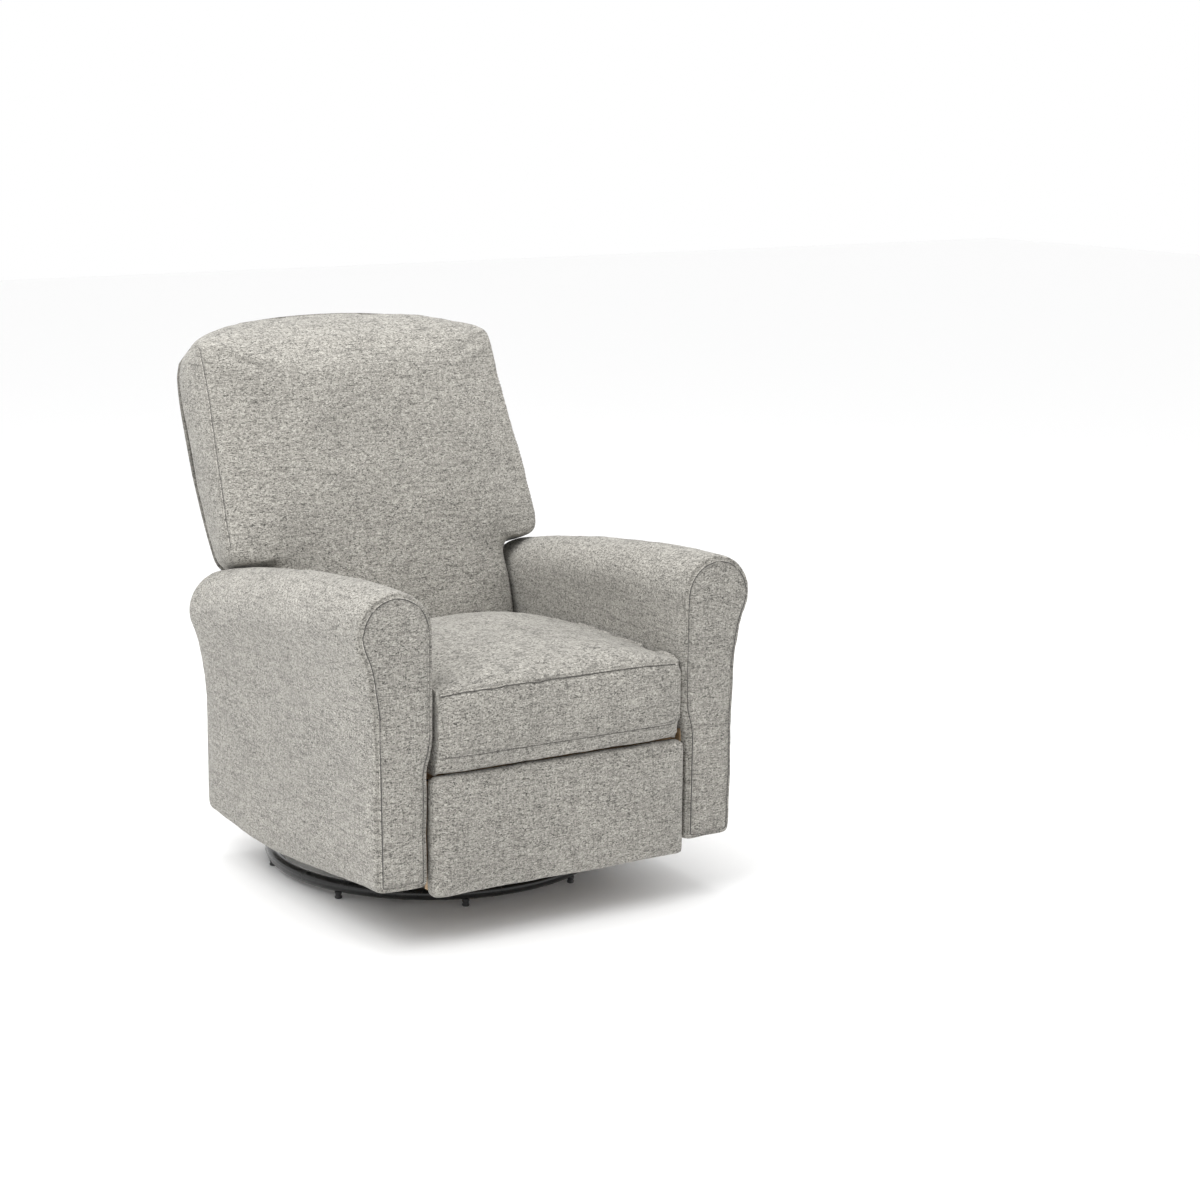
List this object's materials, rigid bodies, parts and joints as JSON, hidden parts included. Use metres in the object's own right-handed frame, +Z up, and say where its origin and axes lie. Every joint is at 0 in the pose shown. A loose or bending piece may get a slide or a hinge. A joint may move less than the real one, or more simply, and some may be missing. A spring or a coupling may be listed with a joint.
{
  "type": "glider nursery chair",
  "caption": "Upholstered nursery armchair with rolled arms, a tilted back and a fold-out footrest, on a swivelling, gliding base ring.",
  "frame": {"origin": "on the floor, on the swivel axis, which is the centre of the bounding box's bottom face", "axes": "+Z up; the chair faces -Y; +X is the sitter's left-hand side"},
  "size_m": [0.8398, 0.9886, 1.0485],
  "materials": {
    "grey_chenille": "heathered grey chenille weave, matt, slightly fuzzy",
    "hardwood": "unfinished furniture hardwood",
    "black_steel": "black powder coat, satin",
    "zinc_steel": "zinc plated, satin",
    "spring_steel": "bare oiled spring wire",
    "black_plastic": "moulded black plastic, matt"
  },
  "bodies": {
    "floor_base": {"floor_ring": "black_steel", "ring_foot_1": "black_plastic", "ring_foot_2": "black_plastic", "ring_foot_3": "black_plastic", "ring_foot_4": "black_plastic", "ring_foot_5": "black_plastic", "ring_foot_6": "black_plastic", "ring_foot_7": "black_plastic", "ring_foot_8": "black_plastic", "ring_spider": "black_steel", "lower_race": "zinc_steel", "king_pin": "zinc_steel"},
    "ball_cage": {"ball_cage": "zinc_steel"},
    "turntable": {"turntable_plate": "zinc_steel", "glide_stand_left": "black_steel", "glide_stand_right": "black_steel"},
    "front_hangers": {"hanger_front_left": "zinc_steel", "hanger_front_right": "zinc_steel"},
    "rear_hangers": {"hanger_rear_left": "zinc_steel", "hanger_rear_right": "zinc_steel"},
    "seat_body": {"carriage_rail_left": "black_steel", "carriage_rail_right": "black_steel", "carriage_tie": "black_steel", "arm_frame_left": "hardwood", "arm_frame_right": "hardwood", "arm_pad_left": "grey_chenille", "arm_pad_right": "grey_chenille", "body_rail_rear": "hardwood", "rear_panel": "grey_chenille", "seat_rail_front": "hardwood", "seat_rail_rear": "hardwood", "seat_rail_left": "hardwood", "seat_rail_right": "hardwood", "seat_spring_1": "spring_steel", "seat_spring_2": "spring_steel", "seat_spring_3": "spring_steel", "seat_cushion": "grey_chenille", "mechanism_plate_left": "zinc_steel", "mechanism_plate_right": "zinc_steel"},
    "back": {"back_cushion": "grey_chenille", "back_panel": "grey_chenille", "back_rail_top": "hardwood", "back_rail_bottom": "hardwood", "back_post_left": "hardwood", "back_post_right": "hardwood", "back_bracket_left": "zinc_steel", "back_bracket_right": "zinc_steel"},
    "drive_links": {"drive_link_left": "black_steel", "drive_link_right": "black_steel"},
    "guide_links": {"guide_link_left": "black_steel", "guide_link_right": "black_steel"},
    "carrier_links": {"carrier_link_left": "black_steel", "carrier_link_right": "black_steel"},
    "toggle_links": {"toggle_link_left": "black_steel", "toggle_link_right": "black_steel"},
    "footrest": {"footrest_pad": "grey_chenille", "footrest_board": "hardwood", "footrest_bracket_left": "black_steel", "footrest_bracket_right": "black_steel"},
    "release_lever": {"release_lever": "black_steel"}
  },
  "joints": [
    {"name": "swivel", "type": "hinge", "parent": "floor_base", "child": "turntable", "pos_m": [0, 0, 0.0436], "axis": [0, 0, 1], "continuous": true},
    {"name": "ball_cage_roll", "type": "hinge", "parent": "floor_base", "child": "ball_cage", "pos_m": [0, 0, 0.0436], "axis": [0, 0, 1], "continuous": true},
    {"name": "glide", "type": "hinge", "parent": "turntable", "child": "front_hangers", "pos_m": [0, -0.11, 0.195], "axis": [-1, 0, 0], "range_deg": [-24, 24]},
    {"name": "seat_on_front_hangers", "type": "hinge", "parent": "front_hangers", "child": "seat_body", "pos_m": [0, -0.11, 0.095], "axis": [-1, 0, 0], "range_deg": [-24, 24]},
    {"name": "rear_hanger_swing", "type": "hinge", "parent": "turntable", "child": "rear_hangers", "pos_m": [0, 0.11, 0.195], "axis": [-1, 0, 0], "range_deg": [-24, 24]},
    {"name": "back_recline", "type": "hinge", "parent": "seat_body", "child": "back", "pos_m": [0, 0.13, 0.3], "axis": [-1, 0, 0], "range_deg": [0, 30]},
    {"name": "footrest_fold", "type": "hinge", "parent": "seat_body", "child": "drive_links", "pos_m": [0, -0.36, 0.283], "axis": [-1, 0, 0], "range_deg": [0, 90]},
    {"name": "guide_link_turn", "type": "hinge", "parent": "seat_body", "child": "guide_links", "pos_m": [0, -0.3, 0.27], "axis": [-1, 0, 0], "range_deg": [0, 90]},
    {"name": "carrier_on_drive", "type": "hinge", "parent": "drive_links", "child": "carrier_links", "pos_m": [0, -0.29502, 0.10446], "axis": [-1, 0, 0], "range_deg": [-90, 0]},
    {"name": "toggle_on_drive", "type": "hinge", "parent": "drive_links", "child": "toggle_links", "pos_m": [0, -0.29836, 0.07263], "axis": [-1, 0, 0], "range_deg": [-90, 0]},
    {"name": "footrest_on_carrier", "type": "hinge", "parent": "carrier_links", "child": "footrest", "pos_m": [0, -0.423, 0.265], "axis": [-1, 0, 0], "range_deg": [0, 90]},
    {"name": "release_pull", "type": "hinge", "parent": "seat_body", "child": "release_lever", "pos_m": [0, -0.2, 0.25], "axis": [-1, 0, 0], "range_deg": [0, 20], "stiffness_Nm_per_rad": 4, "springref_deg": -5.73}
  ],
  "couplings": [
    {"joint": "ball_cage_roll", "follows": "swivel", "ratio": 0.5},
    {"joint": "seat_on_front_hangers", "follows": "glide", "ratio": -1},
    {"joint": "rear_hanger_swing", "follows": "glide", "ratio": 1},
    {"joint": "guide_link_turn", "follows": "footrest_fold", "ratio": 1},
    {"joint": "carrier_on_drive", "follows": "footrest_fold", "ratio": -1},
    {"joint": "toggle_on_drive", "follows": "footrest_fold", "ratio": -1},
    {"joint": "footrest_on_carrier", "follows": "footrest_fold", "ratio": 1}
  ]
}
